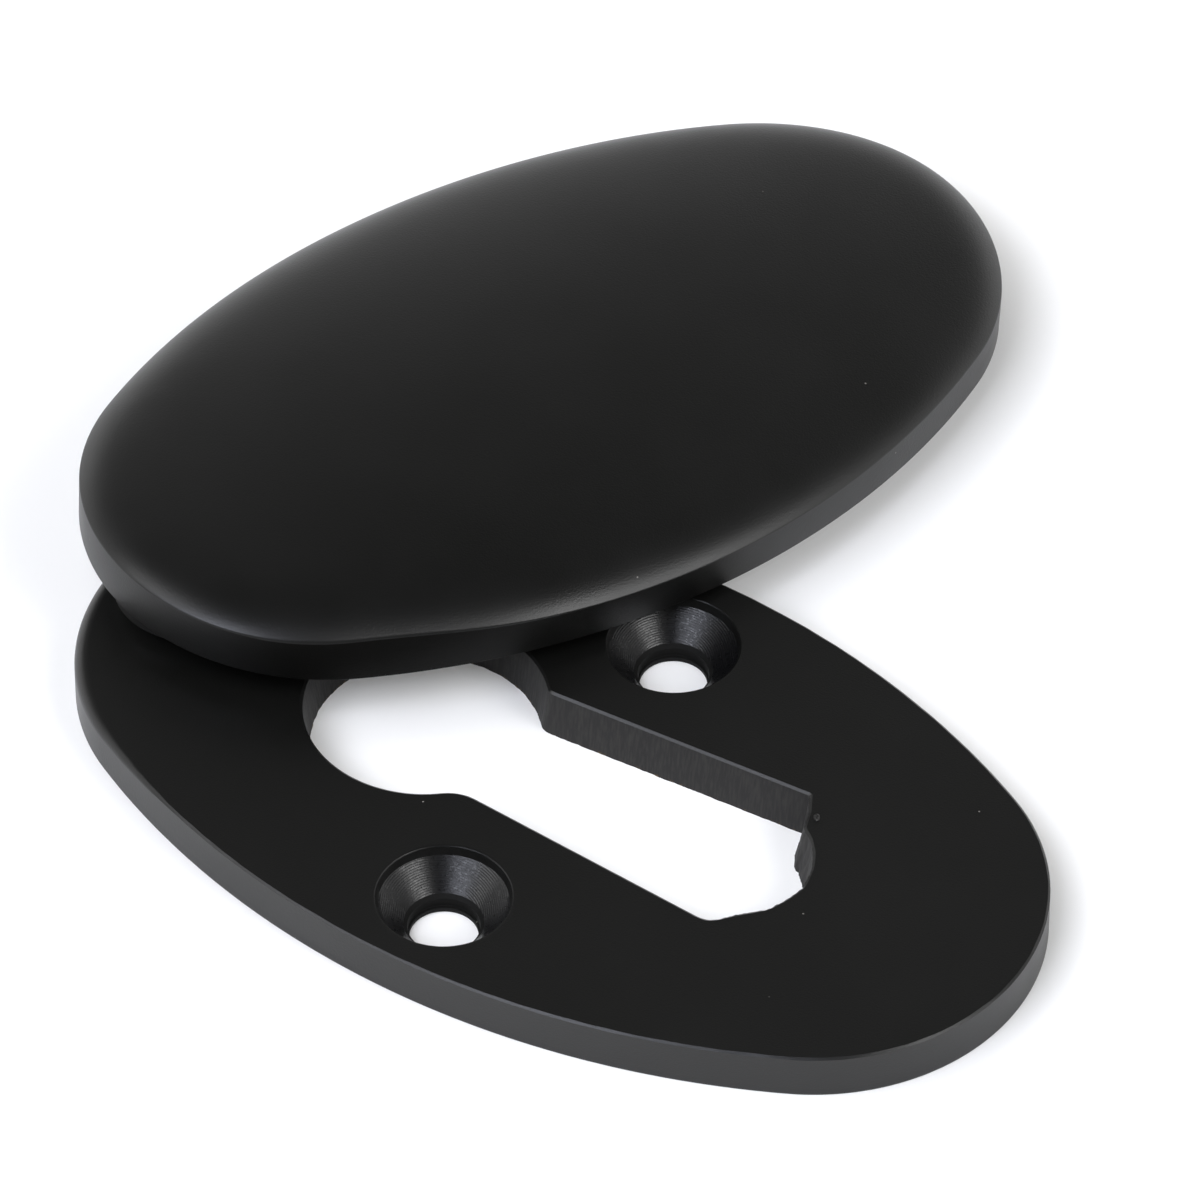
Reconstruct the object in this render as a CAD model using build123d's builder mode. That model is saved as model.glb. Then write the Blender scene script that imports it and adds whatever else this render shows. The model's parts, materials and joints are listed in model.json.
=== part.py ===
from build123d import *

# Oval covered keyhole escutcheon: a cast back plate and a domed swing cover on a riveted pivot.
# Millimetres. Origin at the middle of the plate's back face, +Z out of the door, +Y towards the pivot.

import os
from math import asin, atan2, cos, degrees, radians, sin, sqrt

# Back plate, an oval of four arcs
plate_length = 50.0
plate_width = 28.7
plate_end_radius = 11.0
plate_thickness = 2.4
plate_edge_radius = 0.15

# Keyhole
key_circle_diameter = 11.6
key_circle_height = 7.3
slot_neck_width = 7.0  # at the level of the circle's middle
slot_foot_width = 9.6
slot_foot_drop = 11.0  # corners of the slot's foot, below the plate's middle
slot_end_bow = 2.65
key_corner_radius = 0.5
key_draft = 8.0  # degrees, so the casting leaves its mould at the front

# Screw holes, for small countersunk wood screws
screw_spacing = 19.5
screw_hole_diameter = 3.2
screw_head_diameter = 6.3
screw_head_lip = 0.3
countersink_angle = 90.0

# Riveted pivot
pivot_height = 20.55
rivet_diameter = 4.0
rivet_clearance = 0.08
rivet_head_diameter = 6.4
rivet_head_thickness = 0.55
rivet_head_chamfer = 0.3
rivet_seat_depth = 2.4
head_recess_depth = 1.15
head_recess_clearance = 0.7
pivot_end_play = 0.3  # slack above and below the plate that lets the cover droop
pivot_lean = 2.9  # degrees, the droop itself
cover_swing = 69.65  # degrees, how far the cover is swung from closed

# Swing cover
cover_length = 49.4
cover_width = 29.3
cover_end_radius = 11.5
cover_gap = 1.4  # rim above the plate, along the pivot
cover_side_height = 1.8  # edge wall at the middle of the long sides
crown_across = 2.65  # rise of the dome over the long sides
crown_along = 2.05  # rise of the dome over the two ends
cover_edge_bevel = 0.25  # breaks the edge between wall and crown
cover_wall = 2.2
cover_roof = 1.7
boss_diameter = 7.6
crown_reach = 1.2  # the crown's cutting surface runs this many times as far as the oval

# The leaning pivot: its own Y points from the cover's middle to the pivot, its Z along the rivet
web_middle = (head_recess_depth + plate_thickness) / 2
web_half = (plate_thickness - head_recess_depth) / 2
swing, lean = radians(cover_swing), radians(pivot_lean)
pivot_plane = Plane(
    origin=(0, pivot_height, web_middle),
    x_dir=(cos(swing), sin(swing), 0),
    z_dir=(sin(lean) * sin(swing), -sin(lean) * cos(swing), cos(lean)),
)
boss_level = web_half + pivot_end_play
head_level = -boss_level
rim_level = web_half + cover_gap
seat_level = boss_level + rivet_seat_depth


def arc_radius(half_span, rise):
    return (half_span**2 + rise**2) / (2 * rise)


def oval(length, width, end_radius):
    reach = length / 2 - end_radius
    side_radius = ((width / 2) ** 2 + reach**2 - end_radius**2) / (width - 2 * end_radius)
    side_turn = atan2(reach, side_radius - width / 2)
    side_start = (width / 2 - side_radius * (1 - cos(side_turn)), -side_radius * sin(side_turn))
    side_arc = 2 * degrees(side_turn)
    end_arc = 180 - side_arc
    with BuildSketch() as shape:
        with BuildLine():
            right = JernArc(side_start, (sin(side_turn), cos(side_turn)), side_radius, side_arc)
            top = JernArc(right @ 1, right % 1, end_radius, end_arc)
            left = JernArc(top @ 1, top % 1, side_radius, side_arc)
            JernArc(left @ 1, left % 1, end_radius, end_arc)
        make_face()
    return shape.sketch


# The cover's oval under its barrel-shaped crown, drawn in from the outside by a wall and a roof
def crowned_oval(wall, roof):
    crown_height = cover_side_height + crown_across
    across_radius = arc_radius(cover_width / 2, crown_across)
    along_radius = arc_radius(cover_length / 2, crown_along)
    half_sweep = asin(crown_reach * cover_length / 2 / along_radius)
    half_width = crown_reach * cover_width / 2
    skin_radius = across_radius - roof
    apex = along_radius - roof
    hub = pivot_plane.from_local_coords((0, -pivot_height, rim_level + crown_height - along_radius))
    radial = pivot_plane.z_dir * cos(half_sweep) + pivot_plane.y_dir * sin(half_sweep)
    profile_plane = Plane(origin=hub, x_dir=pivot_plane.x_dir, z_dir=pivot_plane.x_dir.cross(radial))
    side = apex - skin_radius + sqrt(skin_radius**2 - half_width**2)
    foot = along_radius - 2 * crown_height
    with BuildPart() as block:
        with BuildSketch(pivot_plane.offset(rim_level)):
            with Locations((0, -pivot_height)):
                add(oval(cover_length - 2 * wall, cover_width - 2 * wall, cover_end_radius - wall))
        extrude(amount=crown_height)
        with BuildSketch(profile_plane):
            with BuildLine():
                ThreePointArc((-half_width, side), (0, apex), (half_width, side))
                Polyline((half_width, side), (half_width, foot), (-half_width, foot), (-half_width, side))
            make_face()
        cross_axis = Axis(hub, pivot_plane.x_dir)
        revolve(axis=cross_axis, revolution_arc=2 * degrees(half_sweep), mode=Mode.INTERSECT)
    return block.part


# Back plate
with BuildPart() as back_plate:
    with BuildSketch():
        add(oval(plate_length, plate_width, plate_end_radius))
    extrude(amount=plate_thickness)
    fillet(back_plate.faces().sort_by(Axis.Z)[-1].edges(), radius=plate_edge_radius)
    with BuildSketch(Plane.XY.offset(plate_thickness)) as keyhole:
        with Locations((0, key_circle_height)):
            Circle(key_circle_diameter / 2)
        with BuildLine():
            neck, foot = slot_neck_width / 2, slot_foot_width / 2
            left_foot, right_foot = (-foot, -slot_foot_drop), (foot, -slot_foot_drop)
            Polyline(left_foot, (-neck, key_circle_height), (neck, key_circle_height), right_foot)
            ThreePointArc(right_foot, (0, -slot_foot_drop - slot_end_bow), left_foot)
        make_face()
        fillet(keyhole.vertices(), radius=key_corner_radius)
    extrude(amount=-plate_thickness, taper=key_draft, mode=Mode.SUBTRACT)
    with BuildSketch(Plane.XY.offset(plate_thickness)):
        with GridLocations(screw_spacing, 0, 2, 1):
            Circle(screw_head_diameter / 2)
    extrude(amount=-screw_head_lip, mode=Mode.SUBTRACT)
    with Locations(Plane.XY.offset(plate_thickness - screw_head_lip)):
        with GridLocations(screw_spacing, 0, 2, 1):
            CounterSinkHole(
                radius=screw_hole_diameter / 2,
                counter_sink_radius=screw_head_diameter / 2,
                depth=plate_thickness,
                counter_sink_angle=countersink_angle,
            )
    with BuildSketch():
        with Locations((0, pivot_height)):
            Circle(rivet_diameter / 2 + rivet_clearance)
    extrude(amount=plate_thickness, mode=Mode.SUBTRACT)
    with BuildSketch():
        with Locations((0, pivot_height)):
            Circle(rivet_head_diameter / 2 + head_recess_clearance)
    extrude(amount=head_recess_depth, mode=Mode.SUBTRACT)

# Swing cover, hollow behind, with a boss that takes the rivet
outer_skin = crowned_oval(0, 0)
hollow = crowned_oval(cover_wall, cover_roof)
with BuildPart() as swing_cover:
    add(outer_skin)
    crown = swing_cover.faces().sort_by(Axis(pivot_plane.origin, pivot_plane.z_dir))[-1]
    chamfer(crown.edges(), length=cover_edge_bevel)
    add(hollow, mode=Mode.SUBTRACT)
    with BuildSketch(pivot_plane.offset(boss_level)):
        Circle(boss_diameter / 2)
    extrude(amount=rim_level + cover_side_height - boss_level)
    with BuildSketch(pivot_plane.offset(boss_level)):
        Circle(rivet_diameter / 2)
    extrude(amount=rivet_seat_depth, mode=Mode.SUBTRACT)

# Pivot rivet, seated in the boss and peened over behind the plate
with BuildPart() as pivot_rivet:
    with BuildSketch(pivot_plane.offset(head_level)):
        Circle(rivet_head_diameter / 2)
    extrude(amount=-rivet_head_thickness)
    peened_edge = pivot_rivet.edges().sort_by(Axis(pivot_plane.origin, pivot_plane.z_dir))[0]
    chamfer(peened_edge, length=rivet_head_chamfer)
    with BuildSketch(pivot_plane.offset(head_level)):
        Circle(rivet_diameter / 2)
    extrude(amount=seat_level - head_level)

os.makedirs("parts", exist_ok=True)
back_plate.part.label = "back_plate"
swing_cover.part.label = "swing_cover"
pivot_rivet.part.label = "pivot_rivet"
export_step(back_plate.part, "parts/back_plate.step")
export_step(swing_cover.part, "parts/swing_cover.step")
export_step(pivot_rivet.part, "parts/pivot_rivet.step")
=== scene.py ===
import bmesh
import bpy
import json
import math
from mathutils import Matrix, Vector, noise


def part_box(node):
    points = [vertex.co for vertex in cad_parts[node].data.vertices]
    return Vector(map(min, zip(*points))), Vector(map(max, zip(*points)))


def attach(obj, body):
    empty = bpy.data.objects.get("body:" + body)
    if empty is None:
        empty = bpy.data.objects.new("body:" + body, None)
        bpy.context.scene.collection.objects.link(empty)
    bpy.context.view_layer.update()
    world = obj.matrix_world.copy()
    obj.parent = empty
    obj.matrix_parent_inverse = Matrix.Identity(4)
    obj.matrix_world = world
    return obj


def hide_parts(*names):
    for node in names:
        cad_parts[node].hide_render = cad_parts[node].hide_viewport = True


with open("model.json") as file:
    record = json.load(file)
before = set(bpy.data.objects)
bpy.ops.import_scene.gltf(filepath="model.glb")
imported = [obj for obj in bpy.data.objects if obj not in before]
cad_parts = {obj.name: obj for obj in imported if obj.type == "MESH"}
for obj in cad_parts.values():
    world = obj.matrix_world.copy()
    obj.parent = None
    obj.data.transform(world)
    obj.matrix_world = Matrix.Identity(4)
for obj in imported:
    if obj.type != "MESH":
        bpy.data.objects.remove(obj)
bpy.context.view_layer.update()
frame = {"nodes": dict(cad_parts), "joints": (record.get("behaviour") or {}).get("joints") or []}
scene = bpy.context.scene
mm = 0.001
print("frame loaded:", ", ".join(sorted(frame["nodes"])))


def linearColor(hexCode):
    channels = [int(hexCode[i:i + 2], 16) / 255 for i in (0, 2, 4)]
    linear = [value / 12.92 if value <= 0.04045 else ((value + 0.055) / 1.055) ** 2.4 for value in channels]
    return linear + [1.0]


# A socket among the inputs is linked, anything else is set as its value
def addNode(tree, kind, inputs=None, **settings):
    node = tree.nodes.new(kind)
    for name, value in settings.items():
        setattr(node, name, value)
    for socket, value in (inputs or {}).items():
        if isinstance(value, bpy.types.NodeSocket):
            tree.links.new(value, node.inputs[socket])
        else:
            node.inputs[socket].default_value = value
    return node


def newMaterial(name):
    material = bpy.data.materials.new(name)
    material.use_nodes = True
    material.node_tree.nodes.clear()
    return material, material.node_tree


mixFactor, mixFirst, mixSecond, mixResult = 0, 6, 7, 2  # colour sockets of a Mix node
noiseLow, noiseHigh = 0.3, 0.7  # most of a noise texture lies between these

# Black epoxy coat baked on a casting: deep black, satin, with a faint orange peel and stray dust
coat = {
    "color": "0a0a09",
    "dust": "6e6c68",
    "roughness": (0.34, 0.39),
    "gloss": 0.5,
    "wallRoughness": (0.38, 0.44),  # the cover's edge wall is a little duller
    "landRoughness": (0.65, 0.75),  # the lands under the screw heads are duller still
    "landGloss": 0.2,
    "patchSize": 5.0,
    "grainSize": 0.1,  # drawn coarser than the real grain so that it shows
    "grainDepth": 0.008,
    "grainDetail": 2.0,
    "dustSpacing": 1.7,
    "dustSize": 0.045,
    "dustShare": 0.80,  # cells under this value stay clean
}


def coatMaterial(name, roughness, gloss):
    material, tree = newMaterial(name)
    place = addNode(tree, "ShaderNodeTexCoord").outputs["Object"]
    grain = addNode(tree, "ShaderNodeTexNoise", {
        "Vector": place, "Scale": 1 / (coat["grainSize"] * mm), "Detail": coat["grainDetail"]})
    bump = addNode(tree, "ShaderNodeBump", {
        "Height": grain.outputs["Fac"], "Distance": coat["grainDepth"] * mm})
    patch = addNode(tree, "ShaderNodeTexNoise", {"Vector": place, "Scale": 1 / (coat["patchSize"] * mm)})
    low, high = roughness
    sheen = addNode(tree, "ShaderNodeMapRange", {
        "Value": patch.outputs["Fac"], "From Min": noiseLow, "From Max": noiseHigh,
        "To Min": low, "To Max": high})
    cells = addNode(tree, "ShaderNodeTexVoronoi", {"Vector": place, "Scale": 1 / (coat["dustSpacing"] * mm)})
    speck = addNode(tree, "ShaderNodeMath", {
        0: cells.outputs["Distance"], 1: coat["dustSize"] / coat["dustSpacing"]}, operation="LESS_THAN")
    chance = addNode(tree, "ShaderNodeSeparateColor", {"Color": cells.outputs["Color"]})
    chosen = addNode(tree, "ShaderNodeMath", {
        0: chance.outputs["Red"], 1: coat["dustShare"]}, operation="GREATER_THAN")
    dust = addNode(tree, "ShaderNodeMath", {
        0: speck.outputs["Value"], 1: chosen.outputs["Value"]}, operation="MULTIPLY")
    color = addNode(tree, "ShaderNodeMix", {
        mixFactor: dust.outputs["Value"], mixFirst: linearColor(coat["color"]),
        mixSecond: linearColor(coat["dust"])}, data_type="RGBA")
    shader = addNode(tree, "ShaderNodeBsdfPrincipled", {
        "Base Color": color.outputs[mixResult], "Roughness": sheen.outputs["Result"],
        "Specular IOR Level": gloss, "Normal": bump.outputs["Normal"]})
    addNode(tree, "ShaderNodeOutputMaterial", {"Surface": shader.outputs["BSDF"]})
    return material


plateCoat = coatMaterial("plateBlackCoat", coat["roughness"], coat["gloss"])
coverCoat = coatMaterial("coverBlackCoat", coat["roughness"], coat["gloss"])
coverWallCoat = coatMaterial("coverWallBlackCoat", coat["wallRoughness"], coat["gloss"])
landCoat = coatMaterial("landBlackCoat", coat["landRoughness"], coat["landGloss"])

# Coat over a sheared keyhole wall: dull, greyer, torn upright, with brass-coloured glints at its back edge
sheared = {
    "color": "161515",
    "streak": "272624",
    "glint": "6b5a3c",
    "roughness": 0.7,
    "streakWidth": 0.12,
    "streakLength": 2.4,
    "streakDepth": 0.02,
    "streakDetail": 3.0,
    "streakFrom": 0.42,  # noise that starts and ends the change to the streak's colour
    "streakTo": 0.68,
    "glintSize": 0.2,
    "glintTop": 0.12,
    "glintFrom": 0.58,
    "glintTo": 0.66,
}


def shearedMaterial():
    material, tree = newMaterial("shearedWall")
    place = addNode(tree, "ShaderNodeTexCoord").outputs["Object"]
    stretch = sheared["streakWidth"] / sheared["streakLength"]
    upright = addNode(tree, "ShaderNodeMapping", {"Vector": place, "Scale": (1.0, 1.0, stretch)})
    tears = addNode(tree, "ShaderNodeTexNoise", {
        "Vector": upright.outputs["Vector"], "Scale": 1 / (sheared["streakWidth"] * mm),
        "Detail": sheared["streakDetail"]})
    bump = addNode(tree, "ShaderNodeBump", {
        "Height": tears.outputs["Fac"], "Distance": sheared["streakDepth"] * mm})
    shade = addNode(tree, "ShaderNodeMapRange", {
        "Value": tears.outputs["Fac"], "From Min": sheared["streakFrom"], "From Max": sheared["streakTo"]})
    wall = addNode(tree, "ShaderNodeMix", {
        mixFactor: shade.outputs["Result"], mixFirst: linearColor(sheared["color"]),
        mixSecond: linearColor(sheared["streak"])}, data_type="RGBA")
    height = addNode(tree, "ShaderNodeSeparateXYZ", {"Vector": place})
    back = addNode(tree, "ShaderNodeMapRange", {
        "Value": height.outputs["Z"], "From Min": sheared["glintTop"] * mm, "From Max": 0.0})
    chips = addNode(tree, "ShaderNodeTexNoise", {"Vector": place, "Scale": 1 / (sheared["glintSize"] * mm)})
    bare = addNode(tree, "ShaderNodeMapRange", {
        "Value": chips.outputs["Fac"], "From Min": sheared["glintFrom"], "From Max": sheared["glintTo"]})
    worn = addNode(tree, "ShaderNodeMath", {
        0: back.outputs["Result"], 1: bare.outputs["Result"]}, operation="MULTIPLY")
    color = addNode(tree, "ShaderNodeMix", {
        mixFactor: worn.outputs["Value"], mixFirst: wall.outputs[mixResult],
        mixSecond: linearColor(sheared["glint"])}, data_type="RGBA")
    shader = addNode(tree, "ShaderNodeBsdfPrincipled", {
        "Base Color": color.outputs[mixResult], "Roughness": sheared["roughness"],
        "Normal": bump.outputs["Normal"]})
    addNode(tree, "ShaderNodeOutputMaterial", {"Surface": shader.outputs["BSDF"]})
    return material


# Coat over a drilled countersink: glossier, with the cutter's fine rings showing through
drilled = {
    "color": "0a0a0b",
    "roughness": (0.25, 0.35),
    "ringPitch": 0.09,  # drawn coarser than the cutter's real feed so that it shows
    "ringDepth": 0.006,
    "smearSize": 0.14,
    "smearDetail": 4.0,
}


def drilledMaterial(spacing):
    material, tree = newMaterial("drilledCone")
    place = addNode(tree, "ShaderNodeTexCoord").outputs["Object"]
    split = addNode(tree, "ShaderNodeSeparateXYZ", {"Vector": place})
    side = addNode(tree, "ShaderNodeMath", {0: split.outputs["X"]}, operation="ABSOLUTE")
    across = addNode(tree, "ShaderNodeMath", {
        0: side.outputs["Value"], 1: spacing / 2 * mm}, operation="SUBTRACT")
    flat = addNode(tree, "ShaderNodeCombineXYZ", {"X": across.outputs["Value"], "Y": split.outputs["Y"]})
    radius = addNode(tree, "ShaderNodeVectorMath", {0: flat.outputs["Vector"]}, operation="LENGTH")
    turns = addNode(tree, "ShaderNodeMath", {
        0: radius.outputs["Value"], 1: 2 * math.pi / (drilled["ringPitch"] * mm)}, operation="MULTIPLY")
    rings = addNode(tree, "ShaderNodeMath", {0: turns.outputs["Value"]}, operation="SINE")
    smear = addNode(tree, "ShaderNodeTexNoise", {
        "Vector": place, "Scale": 1 / (drilled["smearSize"] * mm), "Detail": drilled["smearDetail"]})
    broken = addNode(tree, "ShaderNodeMath", {
        0: rings.outputs["Value"], 1: smear.outputs["Fac"]}, operation="MULTIPLY")
    bump = addNode(tree, "ShaderNodeBump", {
        "Height": broken.outputs["Value"], "Distance": drilled["ringDepth"] * mm})
    low, high = drilled["roughness"]
    sheen = addNode(tree, "ShaderNodeMapRange", {
        "Value": smear.outputs["Fac"], "From Min": noiseLow, "From Max": noiseHigh,
        "To Min": low, "To Max": high})
    shader = addNode(tree, "ShaderNodeBsdfPrincipled", {
        "Base Color": linearColor(drilled["color"]), "Roughness": sheen.outputs["Result"],
        "Normal": bump.outputs["Normal"]})
    addNode(tree, "ShaderNodeOutputMaterial", {"Surface": shader.outputs["BSDF"]})
    return material


# Zinc plated steel, turned and peened: pale cool metal, softly streaked
steel = {
    "color": "a3a5a6",
    "roughness": (0.28, 0.45),
    "streakSize": 0.4,
    "streakDetail": 3.0,
    "hammerDepth": 0.02,
}


def steelMaterial():
    material, tree = newMaterial("rivetZincSteel")
    place = addNode(tree, "ShaderNodeTexCoord").outputs["Object"]
    streak = addNode(tree, "ShaderNodeTexNoise", {
        "Vector": place, "Scale": 1 / (steel["streakSize"] * mm), "Detail": steel["streakDetail"]})
    low, high = steel["roughness"]
    sheen = addNode(tree, "ShaderNodeMapRange", {
        "Value": streak.outputs["Fac"], "To Min": low, "To Max": high})
    bump = addNode(tree, "ShaderNodeBump", {
        "Height": streak.outputs["Fac"], "Distance": steel["hammerDepth"] * mm})
    shader = addNode(tree, "ShaderNodeBsdfPrincipled", {
        "Base Color": linearColor(steel["color"]), "Metallic": 1.0, "Roughness": sheen.outputs["Result"],
        "Normal": bump.outputs["Normal"]})
    addNode(tree, "ShaderNodeOutputMaterial", {"Surface": shader.outputs["BSDF"]})
    return material


rivetNode = frame["nodes"]["pivot_rivet"]
rivetNode.data.materials.clear()
rivetNode.data.materials.append(steelMaterial())
print("materials done")

creaseAngle = 30.0  # degrees; edges that turn by more stay crisp


def smoothRise(start, stop, value):
    share = min(max((value - start) / (stop - start), 0.0), 1.0)
    return share * share * (3 - 2 * share)


def ripple(x, y, z, size):
    return noise.noise(Vector((x, y, z)) / size)


def quarterTurn(steps):
    return [math.pi / 2 * i / steps for i in range(steps + 1)]


# Rays of a four-arc oval, spaced evenly along its edge: centre, radius and turn of each
def ovalRays(oval, step):
    reach = oval["length"] / 2 - oval["endRadius"]
    half = oval["width"] / 2
    sideRadius = (half ** 2 + reach ** 2 - oval["endRadius"] ** 2) / (2 * (half - oval["endRadius"]))
    sideTurn = math.atan2(reach, sideRadius - half)
    arcs = [
        ((half - sideRadius, 0), sideRadius, -sideTurn, sideTurn),
        ((0, reach), oval["endRadius"], sideTurn, math.pi - sideTurn),
        ((sideRadius - half, 0), sideRadius, math.pi - sideTurn, math.pi + sideTurn),
        ((0, -reach), oval["endRadius"], math.pi + sideTurn, 2 * math.pi - sideTurn),
    ]
    rays = []
    for centre, radius, start, stop in arcs:
        count = round(radius * (stop - start) / step)
        rays += [(centre, radius, start + (stop - start) * i / count) for i in range(count)]
    return rays


def ovalPoint(ray, inset):
    centre, radius, turn = ray
    return centre[0] + (radius - inset) * math.cos(turn), centre[1] + (radius - inset) * math.sin(turn)


def addRing(mesh, points):
    return [mesh.verts.new(Vector(point) * mm) for point in points]


# Rings about upright axes; each has its own middle, radius and height
def turnedRings(mesh, profile, count):
    turns = [2 * math.pi * i / count for i in range(count)]
    rings = []
    for x, y, radius, z in profile:
        points = [(x + radius * math.cos(turn), y + radius * math.sin(turn), z) for turn in turns]
        rings.append(addRing(mesh, points))
    return rings


def joinRings(mesh, rings, surface=0):
    for lower, upper in zip(rings, rings[1:]):
        for i in range(len(lower)):
            face = mesh.faces.new((lower[i - 1], lower[i], upper[i], upper[i - 1]))
            face.material_index = surface


def ringEdges(mesh, ring):
    return [mesh.edges.get((ring[i - 1], ring[i])) for i in range(len(ring))]


def closeRing(mesh, ring, middle):
    tip = mesh.verts.new(Vector(middle) * mm)
    for i in range(len(ring)):
        mesh.faces.new((ring[i - 1], ring[i], tip))


def meshObject(mesh, name, materials):
    bmesh.ops.recalc_face_normals(mesh, faces=mesh.faces)
    data = bpy.data.meshes.new(name)
    mesh.to_mesh(data)
    mesh.free()
    for material in materials:
        data.materials.append(material)
    piece = bpy.data.objects.new(name, data)
    scene.collection.objects.link(piece)
    return piece


def smoothFaces(piece):
    piece.data.shade_smooth()
    piece.data.set_sharp_from_angle(angle=math.radians(creaseAngle))


# Back plate: a flat oval casting, crisp round its foot and rolled soft at the pivot end
plateLow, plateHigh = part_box("back_plate")
plate = {
    "length": (plateHigh.y - plateLow.y) / mm,
    "width": (plateHigh.x - plateLow.x) / mm,
    "thickness": plateHigh.z / mm,
    "endRadius": 11.0,
    "step": 0.2,
    "backRound": 0.08,
    "backSteps": 3,
    "bevel": (0.11, 0.08),  # across and down
    "bevelWobble": 0.3,
    "wobbleSize": 1.1,
    "pivotRoll": 0.65,
    "rollFrom": 12.0,
    "rollFull": 24.5,
    "roundSteps": 7,
    "support": 0.08,  # narrow strip beside each edge, which keeps the shading even
}
plainFace, shearedFace, drilledFace, landFace = range(4)  # places in the plate's list of materials


def plateEdgeRings(mesh):
    rays = ovalRays(plate, plate["step"])
    top, foot, support = plate["thickness"], plate["backRound"], plate["support"]
    across, down = plate["bevel"]
    roll, steps = plate["pivotRoll"], plate["roundSteps"]
    edges = []
    for ray in rays:
        x, y = ovalPoint(ray, 0)
        size = 1 + plate["bevelWobble"] * ripple(x, y, 0, plate["wobbleSize"])
        soft = smoothRise(plate["rollFrom"], plate["rollFull"], y)
        edge = []
        for i, bend in enumerate(quarterTurn(steps)):
            share = i / steps
            bevel = Vector((across * size * share, top - down * size * (1 - share)))
            rolled = Vector((roll - roll * math.cos(bend), top - roll + roll * math.sin(bend)))
            edge.append(bevel.lerp(rolled, soft))
        edge.append(edge[-1] + Vector((support, 0)))
        edge.insert(0, edge[0] - Vector((0, support)))
        edges.append(edge)
    rings = [[(*ovalPoint(ray, foot + support), 0) for ray in rays]]
    for bend in quarterTurn(plate["backSteps"]):
        inset, z = foot - foot * math.sin(bend), foot - foot * math.cos(bend)
        rings.append([(*ovalPoint(ray, inset), z) for ray in rays])
    rings.append([(*ovalPoint(ray, 0), foot + support) for ray in rays])
    for step in zip(*edges):
        rings.append([(*ovalPoint(ray, inset), z) for ray, (inset, z) in zip(rays, step)])
    return [addRing(mesh, ring) for ring in rings]


# Keyhole, with the softened near corners and torn foot of this casting
keyhole = {
    "circleRadius": 5.8,
    "circleY": 7.3,
    "neckWidth": 7.0,
    "footWidth": 9.6,
    "footY": -11.0,
    "torn": [(4.82, -10.9), (3.84, -11.45), (2.85, -11.8), (2.45, -12.39), (1.78, -13.0), (0.88, -13.49),
             (-0.4, -13.8), (-1.4, -13.56), (-2.4, -13.17), (-3.7, -11.95), (-4.58, -11.28)],
    "draft": 8.0,
    "step": 0.07,
    "rows": 16,
    "bevel": (0.11, 0.09),
    "corners": {"nearNeck": 0.6, "farNeck": 0.15, "nearFoot": 0.4, "farFoot": 0.06},
    "softReach": 1.6,
    "plainSoftness": 0.09,
    "tornSoftness": 0.22,
    "tornSoftDrop": (1.2, 1.8),  # below the foot's corners, where it starts and where it is full
    "blurReach": 3,  # softenings on each side of a point
    "tearDrop": (-0.3, 1.0),
    "tornFlare": 0.16,
    "flarePower": 1.5,
    "tornStreak": 0.05,
    "streakSize": 0.2,
    "streakLean": 0.3,
    "streakFade": 0.2,
    "tornRag": 0.14,
    "plainRag": 0.035,
    "ragPower": 2,
    "ragSize": 0.5,
    "fineRag": 0.5,  # shares of the coarse ragging's depth and size
    "fineRagSize": 1 / 3,
}


# Points round the keyhole, with the way inward and how torn the wall is at each
def keyholeOutline():
    radius, circleY = keyhole["circleRadius"], keyhole["circleY"]
    step, footY = keyhole["step"], keyhole["footY"]
    half = keyhole["neckWidth"] / 2
    slope = (keyhole["footWidth"] - keyhole["neckWidth"]) / 2 / (circleY - footY)
    # The neck is where the slot's side meets the circle
    spread = 1 + slope ** 2
    neckDrop = (math.sqrt(spread * radius ** 2 - half ** 2) - half * slope) / spread
    neck = Vector((half + slope * neckDrop, circleY - neckDrop))
    nearNeck = neck * Vector((-1, 1))
    torn = [Vector(point) for point in reversed(keyhole["torn"])]

    middle = Vector((0, circleY))
    neckTurn = math.atan2(-neckDrop, neck.x)
    sweep = math.pi - 2 * neckTurn
    count = round(radius * sweep / step)
    turns = [neckTurn + sweep * i / count for i in range(count)]
    points = [middle + radius * Vector((math.cos(turn), math.sin(turn))) for turn in turns]
    for start, stop in zip([nearNeck] + torn, torn + [neck]):
        count = round((stop - start).length / step)
        points += [start.lerp(stop, i / count) for i in range(count)]

    corners = {"nearNeck": nearNeck, "farNeck": neck, "nearFoot": torn[0], "farFoot": torn[-1]}
    plain = keyhole["plainSoftness"]
    softStart, softFull = [footY - drop for drop in keyhole["tornSoftDrop"]]
    widths = []
    for point in points:
        ragged = smoothRise(softStart, softFull, point.y)
        width = plain + (keyhole["tornSoftness"] - plain) * ragged
        for name, corner in corners.items():
            near = math.exp(-((point - corner).length / keyhole["softReach"]) ** 2)
            width += (keyhole["corners"][name] - plain) * near
        widths.append(width)

    outline = []
    for i, width in enumerate(widths):
        reach = math.ceil(keyhole["blurReach"] * width / step)
        shifts = range(-reach, reach + 1)
        weights = [math.exp(-(shift * step / width) ** 2 / 2) for shift in shifts]
        shares = [points[(i + shift) % len(points)] * weight for shift, weight in zip(shifts, weights)]
        outline.append(sum(shares, Vector((0, 0))) / sum(weights))
    tearStart, tearFull = [footY - drop for drop in keyhole["tearDrop"]]
    tears = [smoothRise(tearStart, tearFull, point.y) for point in outline]
    inward = []
    for i in range(len(outline)):
        along = (outline[(i + 1) % len(outline)] - outline[i - 1]).normalized()
        inward.append(Vector((-along.y, along.x)))
    return outline, inward, tears


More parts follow.
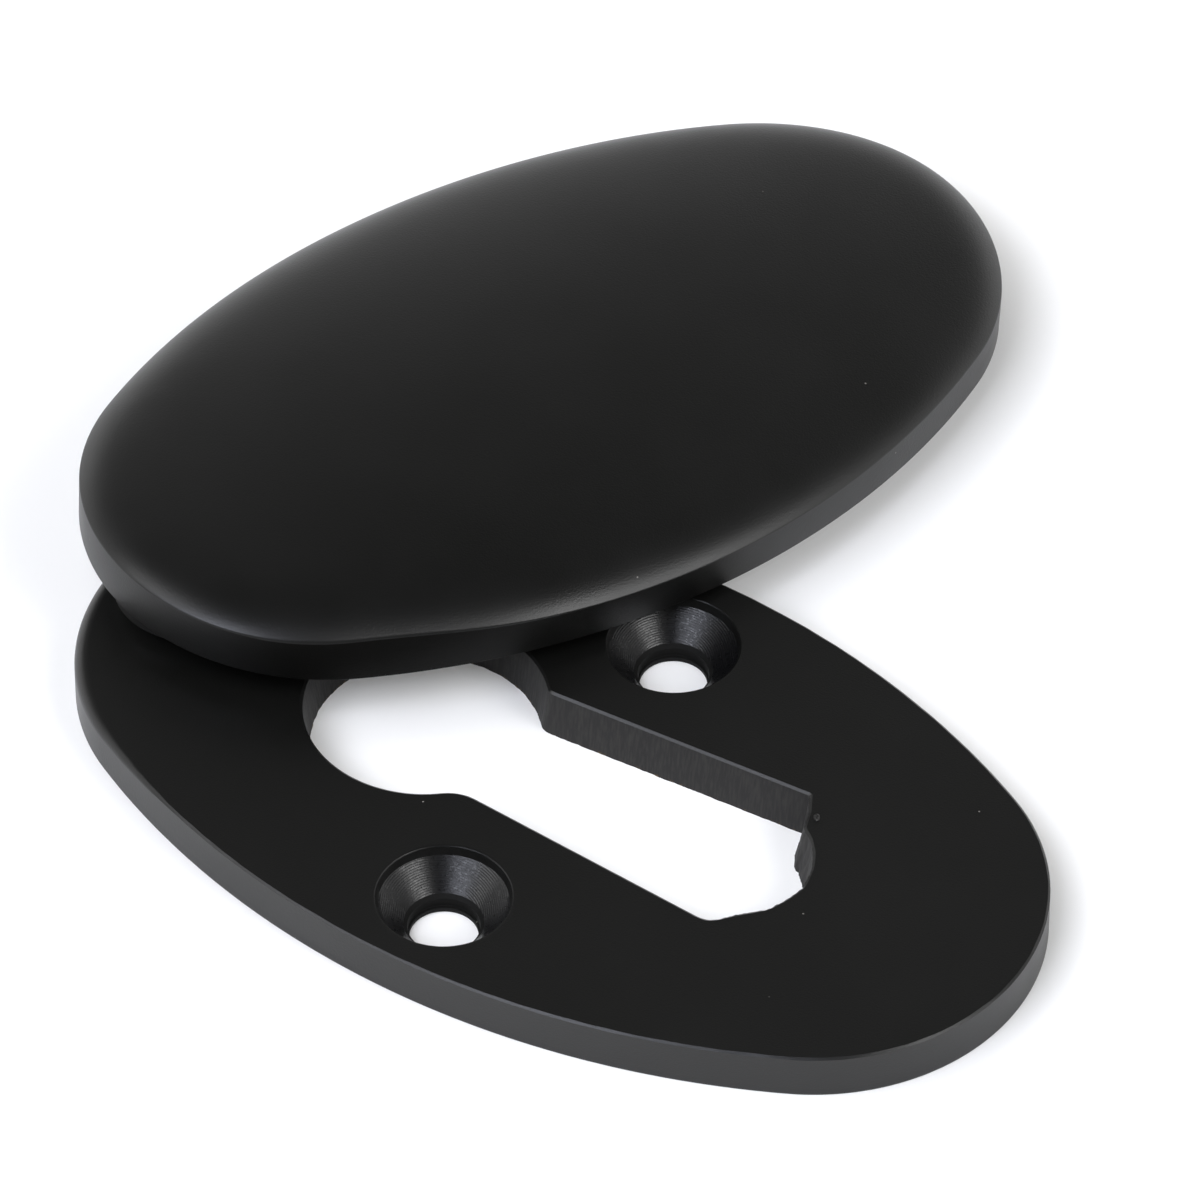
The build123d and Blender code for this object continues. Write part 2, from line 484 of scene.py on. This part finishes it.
def keyholeRings(mesh):
    top, support = plate["thickness"], plate["support"]
    outline, inward, tears = keyholeOutline()
    across, down = keyhole["bevel"]

    def ring(offset, z):
        points = []
        for point, way, tear in zip(outline, inward, tears):
            points.append((*(point + way * offset(point, tear, z)), z))
        return addRing(mesh, points)

    def wall(point, tear, z):
        depth = (top - z) / top
        drag = keyhole["tornFlare"] * tear * depth ** keyhole["flarePower"]
        rag = keyhole["plainRag"] + (keyhole["tornRag"] - keyhole["plainRag"]) * tear
        size = keyhole["ragSize"]
        coarse = ripple(point.x, point.y, 0, size)
        fine = keyhole["fineRag"] * ripple(point.x, point.y, z, size * keyhole["fineRagSize"])
        fray = rag * depth ** keyhole["ragPower"] * (coarse + fine)
        x, fade = point.x + keyhole["streakLean"] * z, keyhole["streakFade"] * z
        streak = keyhole["tornStreak"] * tear * ripple(x, point.y, fade, keyhole["streakSize"])
        return math.tan(math.radians(keyhole["draft"])) * (top - z) + drag + fray + streak

    rings = [ring(lambda point, tear, z: -across - support, top), ring(lambda point, tear, z: -across, top)]
    for i in range(keyhole["rows"] + 1):
        rings.append(ring(wall, (top - down) * (1 - i / keyhole["rows"])))
    rings.append(ring(lambda point, tear, z: wall(point, tear, z) - support, 0))
    return rings


# A bead of coat left beside the far corner of the foot
bead = {
    "at": (3.72, -11.95),
    "size": (0.26, 0.15, 0.12),
    "turn": 0.6,
    "lump": 0.25,
    "lumpSize": 0.8,
    "points": 24,
    "rows": 8,
}


def addBead(mesh):
    length, width, height = bead["size"]
    rings = []
    for i in range(1, bead["rows"]):
        tilt = math.pi * i / bead["rows"]
        ring = []
        for j in range(bead["points"]):
            turn = 2 * math.pi * j / bead["points"]
            bulge = ripple(math.cos(turn), math.sin(turn), math.cos(tilt), bead["lumpSize"])
            lump = 1 + bead["lump"] * bulge
            x = length * math.sin(tilt) * math.cos(turn) * lump
            y = width * math.sin(tilt) * math.sin(turn) * lump
            z = plate["thickness"] - height * math.cos(tilt) * lump
            spin = Matrix.Rotation(bead["turn"], 2) @ Vector((x, y))
            ring.append((bead["at"][0] + spin.x, bead["at"][1] + spin.y, z))
        rings.append(addRing(mesh, ring))
    joinRings(mesh, rings)
    closeRing(mesh, rings[0], (*bead["at"], plate["thickness"] - height))
    closeRing(mesh, rings[-1], (*bead["at"], plate["thickness"] + height))


# Screw holes: a short lip, a drilled cone and a dull land with a step where the two mould halves met
screwHole = {
    "spacing": 19.5,
    "rim": 3.15,
    "rimRound": 0.1,
    "rimSteps": 3,
    "lip": 0.45,
    "lipDraft": 0.11,
    "landTop": 0.68,
    "landRadius": 1.69,
    "stepTop": 0.28,
    "stepRound": 0.03,
    "hole": 1.6,
    "backRound": 0.06,
    "frontShift": (-0.1, -0.25),  # the halves met a little out of line
    "landShift": (-0.31, -0.38),
    "backShift": (-0.42, -0.45),
    "points": 112,
    "coneRows": 8,
    "dullRows": 1,  # rows at the cone's foot that are as dull as the land
}


# Profile of a screw hole in three stretches: rim, cone, land
def screwHoleProfile(side):
    top, support = plate["thickness"], plate["support"]
    radius, rimRound = screwHole["rim"], screwHole["rimRound"]
    hole, backRound = screwHole["hole"], screwHole["backRound"]
    landRadius, stepTop, stepRound = screwHole["landRadius"], screwHole["stepTop"], screwHole["stepRound"]
    middle = side * screwHole["spacing"] / 2
    shifts = [screwHole[level] for level in ("frontShift", "landShift", "backShift")]
    front, land, back = [(middle + x, y) for x, y in shifts]
    rim = [(*front, radius + rimRound + support, top)]
    for bend in quarterTurn(screwHole["rimSteps"]):
        out, drop = 1 - math.sin(bend), 1 - math.cos(bend)
        rim.append((*front, radius + rimRound * out, top - rimRound * drop))
    coneTop = Vector((*front, radius - screwHole["lipDraft"], top - screwHole["lip"]))
    coneFoot = Vector((*land, landRadius, screwHole["landTop"]))
    rows = screwHole["coneRows"]
    cone = [tuple(coneTop.lerp(coneFoot, i / rows)) for i in range(rows + 1)]
    foot = [
        (*land, landRadius - stepRound, stepTop + stepRound),
        (*land, landRadius - 2 * stepRound, stepTop),
        (*back, hole + stepRound, stepTop),
        (*back, hole, stepTop - stepRound),
        (*back, hole, backRound),
        (*back, hole + backRound, 0),
        (*back, hole + backRound + support, 0),
    ]
    return rim, cone, foot


def screwHoleRings(mesh, side):
    rim, cone, foot = screwHoleProfile(side)
    rings = turnedRings(mesh, rim + cone + foot, screwHole["points"])
    coneStart = len(rim)
    dullStart = len(rim) + len(cone) - 1 - screwHole["dullRows"]
    joinRings(mesh, rings[:coneStart + 1], plainFace)
    joinRings(mesh, rings[coneStart:dullStart + 1], drilledFace)
    joinRings(mesh, rings[dullStart:-1], landFace)
    joinRings(mesh, rings[-2:], plainFace)
    return rings


# Pivot hole, with a recess behind for the rivet's head
pivotHole = {
    "height": frame["joints"][0]["pos_m"][1] / mm,
    "hole": 2.08,
    "recess": 3.9,
    "recessDepth": 1.15,
    "edge": 0.1,
    "points": 96,
}


def pivotHoleRings(mesh):
    top, support = plate["thickness"], plate["support"]
    hole, recess, depth, edge = [pivotHole[name] for name in ("hole", "recess", "recessDepth", "edge")]
    profile = [
        (hole + edge + support, top),
        (hole + edge, top),
        (hole, top - edge),
        (hole, depth),
        (recess, depth),
        (recess, edge),
        (recess + edge, 0),
        (recess + edge + support, 0),
    ]
    profile = [(0, pivotHole["height"], radius, z) for radius, z in profile]
    rings = turnedRings(mesh, profile, pivotHole["points"])
    joinRings(mesh, rings, plainFace)
    return rings


def buildPlate():
    mesh = bmesh.new()
    edge = plateEdgeRings(mesh)
    joinRings(mesh, edge, plainFace)
    key = keyholeRings(mesh)
    joinRings(mesh, key[:3], plainFace)
    joinRings(mesh, key[2:-1], shearedFace)
    joinRings(mesh, key[-2:], plainFace)
    openings = [key, screwHoleRings(mesh, -1), screwHoleRings(mesh, 1), pivotHoleRings(mesh)]
    faceEdges = ringEdges(mesh, edge[-1])
    backEdges = ringEdges(mesh, edge[0])
    for rings in openings:
        faceEdges += ringEdges(mesh, rings[0])
        backEdges += ringEdges(mesh, rings[-1])
    bmesh.ops.triangle_fill(mesh, edges=faceEdges, use_beauty=True)
    bmesh.ops.triangle_fill(mesh, edges=backEdges, use_beauty=True)
    addBead(mesh)
    finishes = [plateCoat, shearedMaterial(), drilledMaterial(screwHole["spacing"]), landCoat]
    piece = meshObject(mesh, "plateCasting", finishes)
    smoothFaces(piece)
    return piece


plateCasting = buildPlate()
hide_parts("back_plate")
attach(plateCasting, "plate")
print("plate done:", len(plateCasting.data.polygons), "faces")

# Swing cover: an oval pillow dome over a straight edge wall, hollow behind, with a boss round the rivet
cover = {
    "length": 49.4,
    "width": 29.3,
    "endRadius": 11.5,
    "rimLevel": 2.025,  # above the pivot, along its axis
    "sideHeight": 1.8,
    "crownAcross": 2.65,
    "crownAlong": 2.05,
    "wall": 2.2,
    "roof": 1.7,
    "innerRound": 0.5,
    "innerSteps": 4,
    "rimRound": 0.1,
    "rimSteps": 3,
    "rollRise": 0.6,  # the dome's outermost strip turns down into the edge wall
    "rollWidth": 0.8,
    "shoulder": 0.12,
    "softShoulder": 0.35,  # one stretch of the near side is softer, lower and leans in
    "softLean": 0.5,
    "softDrop": 0.45,
    "softDropWidth": 1.5,
    "softAt": (-10.7, 17.4),
    "softReach": 5.5,
    "shoulderSteps": 9,
    "slopeReach": 0.1,  # over which the dome's slope at its edge is taken
    "domeRings": 44,
    "ringCrowding": 1.7,  # over 1 brings the dome's rings closer together near its edge
    "step": 0.2,
    "bossRadius": 3.8,
    "bossLevel": 0.925,
    "bossTop": 3.825,
    "bossEdge": 0.2,
    "seatRadius": 2.0,
    "seatDepth": 2.4,
    "bossPoints": 96,
    "overCut": 1.0,
}
domeFace, wallFace = range(2)  # places in the cover's list of materials

# The cover's own frame: origin on the pivot, Y from the cover's middle to the pivot, Z along the rivet
joint = frame["joints"][0]
pivotAxis = Vector(joint["axis"]).normalized()
swing = math.atan2(pivotAxis.x, -pivotAxis.y)
coverRight = Vector((math.cos(swing), math.sin(swing), 0))
coverFrame = Matrix((coverRight, pivotAxis.cross(coverRight), pivotAxis)).transposed().to_4x4()
coverFrame.translation = Vector(joint["pos_m"])
coverMiddle = -pivotHole["height"]


# Points given from the cover's middle, as seen from the pivot
def inCover(points):
    return [(x, y + coverMiddle, z) for x, y, z in points]


# Along one near stretch the edge wall is far less glossy, so it gives back little of the white paper
dulled = {
    "at": (-11.4, 16.0, 2.9),
    "near": 5.0,
    "far": 10.5,
    "gloss": (0.1, 0.38),  # at the stretch's middle, and on the rest of the wall
}


def dullWall(material):
    tree = material.node_tree
    spot = coverFrame @ (Vector(inCover([dulled["at"]])[0]) * mm)
    place = addNode(tree, "ShaderNodeTexCoord").outputs["Object"]
    gap = addNode(tree, "ShaderNodeVectorMath", {0: place, 1: spot}, operation="DISTANCE")
    low, high = dulled["gloss"]
    gloss = addNode(tree, "ShaderNodeMapRange", {
        "Value": gap.outputs["Value"], "From Min": dulled["near"] * mm, "From Max": dulled["far"] * mm,
        "To Min": low, "To Max": high}, interpolation_type="SMOOTHSTEP")
    tree.links.new(gloss.outputs["Result"], tree.nodes["Principled BSDF"].inputs["Specular IOR Level"])


dullWall(coverWallCoat)


def arcRadius(halfSpan, rise):
    return (halfSpan ** 2 + rise ** 2) / (2 * rise)


# Height of the barrel-shaped dome over the cover's own middle, or of the skin under a roof
def domeHeight(x, y, roof=0.0):
    across = arcRadius(cover["width"] / 2, cover["crownAcross"])
    along = arcRadius(cover["length"] / 2, cover["crownAlong"])
    waist = along - across + math.sqrt((across - roof) ** 2 - x * x)
    crown = cover["rimLevel"] + cover["sideHeight"] + cover["crownAcross"]
    return crown - along + math.sqrt(waist ** 2 - y * y)


# The same dome with its rolled strip: lower up the slope by what the strip gains, and along the soft stretch
def rolledHeight(x, y, edgeHeight, inset, drop):
    rise = cover["rollRise"]
    keep = 1 - rise / (domeHeight(0, 0) - edgeHeight)
    strip = rise * (1 - math.exp(-inset / cover["rollWidth"]))
    sunk = drop * math.exp(-inset / cover["softDropWidth"])
    return edgeHeight + (domeHeight(x, y) - edgeHeight) * keep + strip - sunk


# Rings from an edge in to the middle, closer together near the edge
def addDome(mesh, ring, edge, height):
    rings = [ring]
    for k in range(1, cover["domeRings"]):
        share = 1 - (k / cover["domeRings"]) ** cover["ringCrowding"]
        points = []
        for i, (x, y) in enumerate(edge):
            points.append((x * share, y * share, height(i, x * share, y * share, share)))
        rings.append(addRing(mesh, inCover(points)))
    joinRings(mesh, rings, domeFace)
    closeRing(mesh, rings[-1], inCover([(0, 0, height(0, 0, 0, 0))])[0])


# The round between wall and dome at one ray, as inset and height of each step, and how far it is dropped
def shoulderAt(ray):
    x, y = ovalPoint(ray, 0)
    gap = math.hypot(x - cover["softAt"][0], y - cover["softAt"][1])
    soft = math.exp(-(gap / cover["softReach"]) ** 2)
    radius = cover["shoulder"] + (cover["softShoulder"] - cover["shoulder"]) * soft
    inset, drop = cover["softLean"] * soft, cover["softDrop"] * soft
    edgeHeight, reach = domeHeight(x, y), cover["slopeReach"]
    corner = rolledHeight(*ovalPoint(ray, inset), edgeHeight, inset, drop)
    inner = rolledHeight(*ovalPoint(ray, inset + reach), edgeHeight, inset + reach, drop)
    lean = math.atan2(inset, corner - cover["rimLevel"])
    turn = math.pi / 2 - lean - math.atan2(inner - corner, reach)
    tangent = radius * math.tan(turn / 2)
    inset, level = inset - tangent * math.sin(lean), corner - tangent * math.cos(lean)
    steps = []
    for i in range(cover["shoulderSteps"] + 1):
        bend = lean + turn * i / cover["shoulderSteps"]
        across = radius * (math.cos(lean) - math.cos(bend))
        up = radius * (math.sin(bend) - math.sin(lean))
        steps.append((inset + across, level + up))
    return steps, drop


def coverSolid():
    mesh = bmesh.new()
    rays = ovalRays(cover, cover["step"])
    rim, foot = cover["rimLevel"], cover["rimRound"]
    rings = []
    for bend in quarterTurn(cover["rimSteps"]):
        inset, z = foot - foot * math.sin(bend), rim + foot - foot * math.cos(bend)
        rings.append(addRing(mesh, inCover([(*ovalPoint(ray, inset), z) for ray in rays])))
    mesh.faces.new(rings[0])
    wallTop = len(rings)
    shoulders, drops = zip(*[shoulderAt(ray) for ray in rays])
    for step in zip(*shoulders):
        points = [(*ovalPoint(ray, inset), z) for ray, (inset, z) in zip(rays, step)]
        rings.append(addRing(mesh, inCover(points)))
    joinRings(mesh, rings[:wallTop + 1], wallFace)
    joinRings(mesh, rings[wallTop:], domeFace)
    insets = [steps[-1][0] for steps in shoulders]
    edge = [ovalPoint(ray, inset) for ray, inset in zip(rays, insets)]

    def height(i, x, y, share):
        ray, (edgeX, edgeY) = rays[i], edge[i]
        turn = ray[2]
        reach = edgeX * math.cos(turn) + edgeY * math.sin(turn)
        edgeHeight = domeHeight(*ovalPoint(ray, 0))
        return rolledHeight(x, y, edgeHeight, insets[i] + (1 - share) * reach, drops[i])

    addDome(mesh, rings[-1], edge, height)
    return meshObject(mesh, "coverCasting", [coverCoat, coverWallCoat])


def hollowSolid():
    mesh = bmesh.new()
    rays = ovalRays(cover, cover["step"])
    inner, wall, roof = cover["innerRound"], cover["wall"], cover["roof"]
    start = cover["rimLevel"] - cover["overCut"]
    rings = [addRing(mesh, inCover([(*ovalPoint(ray, wall), start) for ray in rays]))]
    mesh.faces.new(rings[0])
    for bend in quarterTurn(cover["innerSteps"]):
        ring = []
        for ray in rays:
            x, y = ovalPoint(ray, wall + inner - inner * math.cos(bend))
            ring.append((x, y, domeHeight(x, y, roof) - inner + inner * math.sin(bend)))
        rings.append(addRing(mesh, inCover(ring)))
    joinRings(mesh, rings)
    edge = [ovalPoint(ray, wall + inner) for ray in rays]
    addDome(mesh, rings[-1], edge, lambda i, x, y, share: domeHeight(x, y, roof))
    return meshObject(mesh, "coverHollow", [coverCoat])


def postSolid(name, profile):
    mesh = bmesh.new()
    rings = turnedRings(mesh, [(0, 0, radius, z) for radius, z in profile], cover["bossPoints"])
    joinRings(mesh, rings)
    mesh.faces.new(rings[0])
    mesh.faces.new(rings[-1])
    return meshObject(mesh, name, [coverCoat])


def cutOrJoin(piece, tool, operation):
    modifier = piece.modifiers.new(operation.lower(), "BOOLEAN")
    modifier.operation = operation
    modifier.solver = "EXACT"
    modifier.object = tool
    bpy.context.view_layer.update()
    result = bpy.data.meshes.new_from_object(piece.evaluated_get(bpy.context.evaluated_depsgraph_get()))
    piece.modifiers.clear()
    piece.data = result
    bpy.data.objects.remove(tool)


def buildCover():
    piece = coverSolid()
    cutOrJoin(piece, hollowSolid(), "DIFFERENCE")
    radius, level, edge = cover["bossRadius"], cover["bossLevel"], cover["bossEdge"]
    boss = [(radius - edge, level), (radius, level + edge), (radius, cover["bossTop"])]
    cutOrJoin(piece, postSolid("boss", boss), "UNION")
    seatRadius = cover["seatRadius"]
    seat = [(seatRadius, level - cover["overCut"]), (seatRadius, level + cover["seatDepth"])]
    cutOrJoin(piece, postSolid("seat", seat), "DIFFERENCE")
    piece.data.transform(coverFrame)
    smoothFaces(piece)
    return piece


coverCasting = buildCover()
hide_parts("swing_cover")
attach(coverCasting, "cover")
print("cover done:", len(coverCasting.data.polygons), "faces")

# White paper floor: lit by the lamps, with a little lift for the eye and the gloss so that it reads as white
floorSettings = {"size": 4.0, "color": "f2f2f2", "lift": 0.08}
bpy.ops.mesh.primitive_plane_add(size=floorSettings["size"], location=(0, 0, 0))
floor = bpy.context.object
floor.name = "floor"
floorMaterial, tree = newMaterial("whitePaper")
paper = addNode(tree, "ShaderNodeBsdfDiffuse", {"Color": linearColor(floorSettings["color"])})
path = addNode(tree, "ShaderNodeLightPath")
seen = addNode(tree, "ShaderNodeMath", {
    0: path.outputs["Is Camera Ray"], 1: path.outputs["Is Glossy Ray"]}, operation="MAXIMUM")
seen = addNode(tree, "ShaderNodeMath", {
    0: seen.outputs["Value"], 1: path.outputs["Is Transmission Ray"]}, operation="MAXIMUM")
lift = addNode(tree, "ShaderNodeMath", {
    0: seen.outputs["Value"], 1: floorSettings["lift"]}, operation="MULTIPLY")
glow = addNode(tree, "ShaderNodeEmission", {"Strength": lift.outputs["Value"]})
both = addNode(tree, "ShaderNodeAddShader", {0: paper.outputs["BSDF"], 1: glow.outputs["Emission"]})
addNode(tree, "ShaderNodeOutputMaterial", {"Surface": both.outputs["Shader"]})
floor.data.materials.append(floorMaterial)

# Camera, from a fit to the photograph's outline
shot = {
    "azimuth": -56.9,
    "elevation": 44.73,
    "distance": 500.0,
    "target": (12.268, 5.596, 0.0),
    "lens": 315.29,
    "sensor": 36.0,
    "clipStart": 10.0,
}
azimuth, elevation = math.radians(shot["azimuth"]), math.radians(shot["elevation"])
level = math.cos(elevation)
toCamera = Vector((math.sin(azimuth) * level, -math.cos(azimuth) * level, math.sin(elevation)))
away = Vector((-toCamera.x, -toCamera.y, 0)).normalized()
right = Vector((away.y, -away.x, 0))
cameraData = bpy.data.cameras.new("camera")
cameraData.sensor_width = shot["sensor"]
cameraData.lens = shot["lens"]
cameraData.clip_start = shot["clipStart"] * mm
camera = bpy.data.objects.new("camera", cameraData)
camera.location = (Vector(shot["target"]) + toCamera * shot["distance"]) * mm
camera.rotation_euler = (-toCamera).to_track_quat("-Z", "Y").to_euler()
scene.collection.objects.link(camera)
scene.camera = camera
scene.view_settings.view_transform = "Standard"

# Studio: a white sweep low down behind and beside the part, a dim room above and in front
studio = {
    "sweep": 1.55,
    "flankRise": 0.24,  # how much taller the sweep is at the sides
    "flankFrom": 0.1,
    "flankFull": 0.6,
    "sweepTop": 0.1,
    "sweepFade": 0.29,
    "room": 0.23,
    "roomTop": 0.72,
    "roomFade": 0.22,
    "dark": 0.03,
    "frontDark": -0.5,
    "sideBright": 0.0,
}
world = bpy.data.worlds.new("studio")
scene.world = world
world.use_nodes = True
tree = world.node_tree
tree.nodes.clear()
place = addNode(tree, "ShaderNodeTexCoord").outputs["Generated"]
split = addNode(tree, "ShaderNodeSeparateXYZ", {"Vector": place})
across = addNode(tree, "ShaderNodeVectorMath", {0: place, 1: right}, operation="DOT_PRODUCT")
across = addNode(tree, "ShaderNodeMath", {0: across.outputs["Value"]}, operation="ABSOLUTE")
flank = addNode(tree, "ShaderNodeMapRange", {
    "Value": across.outputs["Value"], "From Min": studio["flankFrom"], "From Max": studio["flankFull"],
    "To Max": studio["flankRise"]}, interpolation_type="SMOOTHSTEP")
height = addNode(tree, "ShaderNodeMath", {
    0: split.outputs["Z"], 1: flank.outputs["Result"]}, operation="SUBTRACT")
sweep = addNode(tree, "ShaderNodeMapRange", {
    "Value": height.outputs["Value"], "From Min": studio["sweepTop"],
    "From Max": studio["sweepTop"] + studio["sweepFade"],
    "To Min": studio["sweep"], "To Max": 0.0}, interpolation_type="SMOOTHSTEP")
room = addNode(tree, "ShaderNodeMapRange", {
    "Value": split.outputs["Z"], "From Min": studio["roomTop"],
    "From Max": studio["roomTop"] + studio["roomFade"],
    "To Min": studio["room"], "To Max": 0.0}, interpolation_type="SMOOTHSTEP")
bright = addNode(tree, "ShaderNodeMath", {
    0: sweep.outputs["Result"], 1: room.outputs["Result"]}, operation="MAXIMUM")
behind = addNode(tree, "ShaderNodeVectorMath", {0: place, 1: away}, operation="DOT_PRODUCT")
side = addNode(tree, "ShaderNodeMapRange", {
    "Value": behind.outputs["Value"], "From Min": studio["frontDark"], "From Max": studio["sideBright"]},
    interpolation_type="SMOOTHSTEP")
glow = addNode(tree, "ShaderNodeMath", {
    0: bright.outputs["Value"], 1: side.outputs["Result"], 2: studio["dark"]}, operation="MULTIPLY_ADD")
sky = addNode(tree, "ShaderNodeBackground", {"Strength": glow.outputs["Value"]})
addNode(tree, "ShaderNodeOutputWorld", {"Surface": sky.outputs["Background"]})

# Soft boxes, placed as seen from the camera: right, away from it, up
lamps = {
    "leftBox": {
        "at": (-0.66, 0.0, 0.75), "reach": 1.1, "size": (0.46, 0.45), "power": 2.0, "color": "ffffff"},
    "frontLeft": {
        "at": (-0.46, -0.48, 0.75), "reach": 1.0, "size": (0.62, 0.46), "power": 5.2, "color": "edf1ff"},
    "frontRight": {
        "at": (0.65, -0.4, 0.65), "reach": 1.0, "size": (0.54, 0.5), "power": 4.8, "color": "ffffff"},
    "paperFront": {
        "at": (-0.4, -0.51, 0.8), "reach": 1.2, "size": (1.0, 1.0), "power": 6.3, "color": "ffffff"},
    "paperBack": {
        "at": (-0.3, 0.35, 0.87), "reach": 1.2, "size": (0.8, 0.8), "power": 2.0, "color": "ffffff"},
}
for name, lamp in lamps.items():
    data = bpy.data.lights.new(name, "AREA")
    data.shape = "RECTANGLE"
    data.size, data.size_y = lamp["size"]
    data.energy = lamp["power"]
    data.color = linearColor(lamp["color"])[:3]
    light = bpy.data.objects.new(name, data)
    sideways, back, up = lamp["at"]
    aim = (right * sideways + away * back + Vector((0, 0, up))).normalized()
    facing = right.cross(aim).normalized()
    turned = Matrix((facing.cross(aim), facing, aim)).transposed().to_4x4()
    turned.translation = aim * lamp["reach"]
    light.matrix_world = turned
    light.visible_glossy = not name.startswith("paper")  # the paper's own light stays out of the gloss
    scene.collection.objects.link(light)
print("camera and lights done")
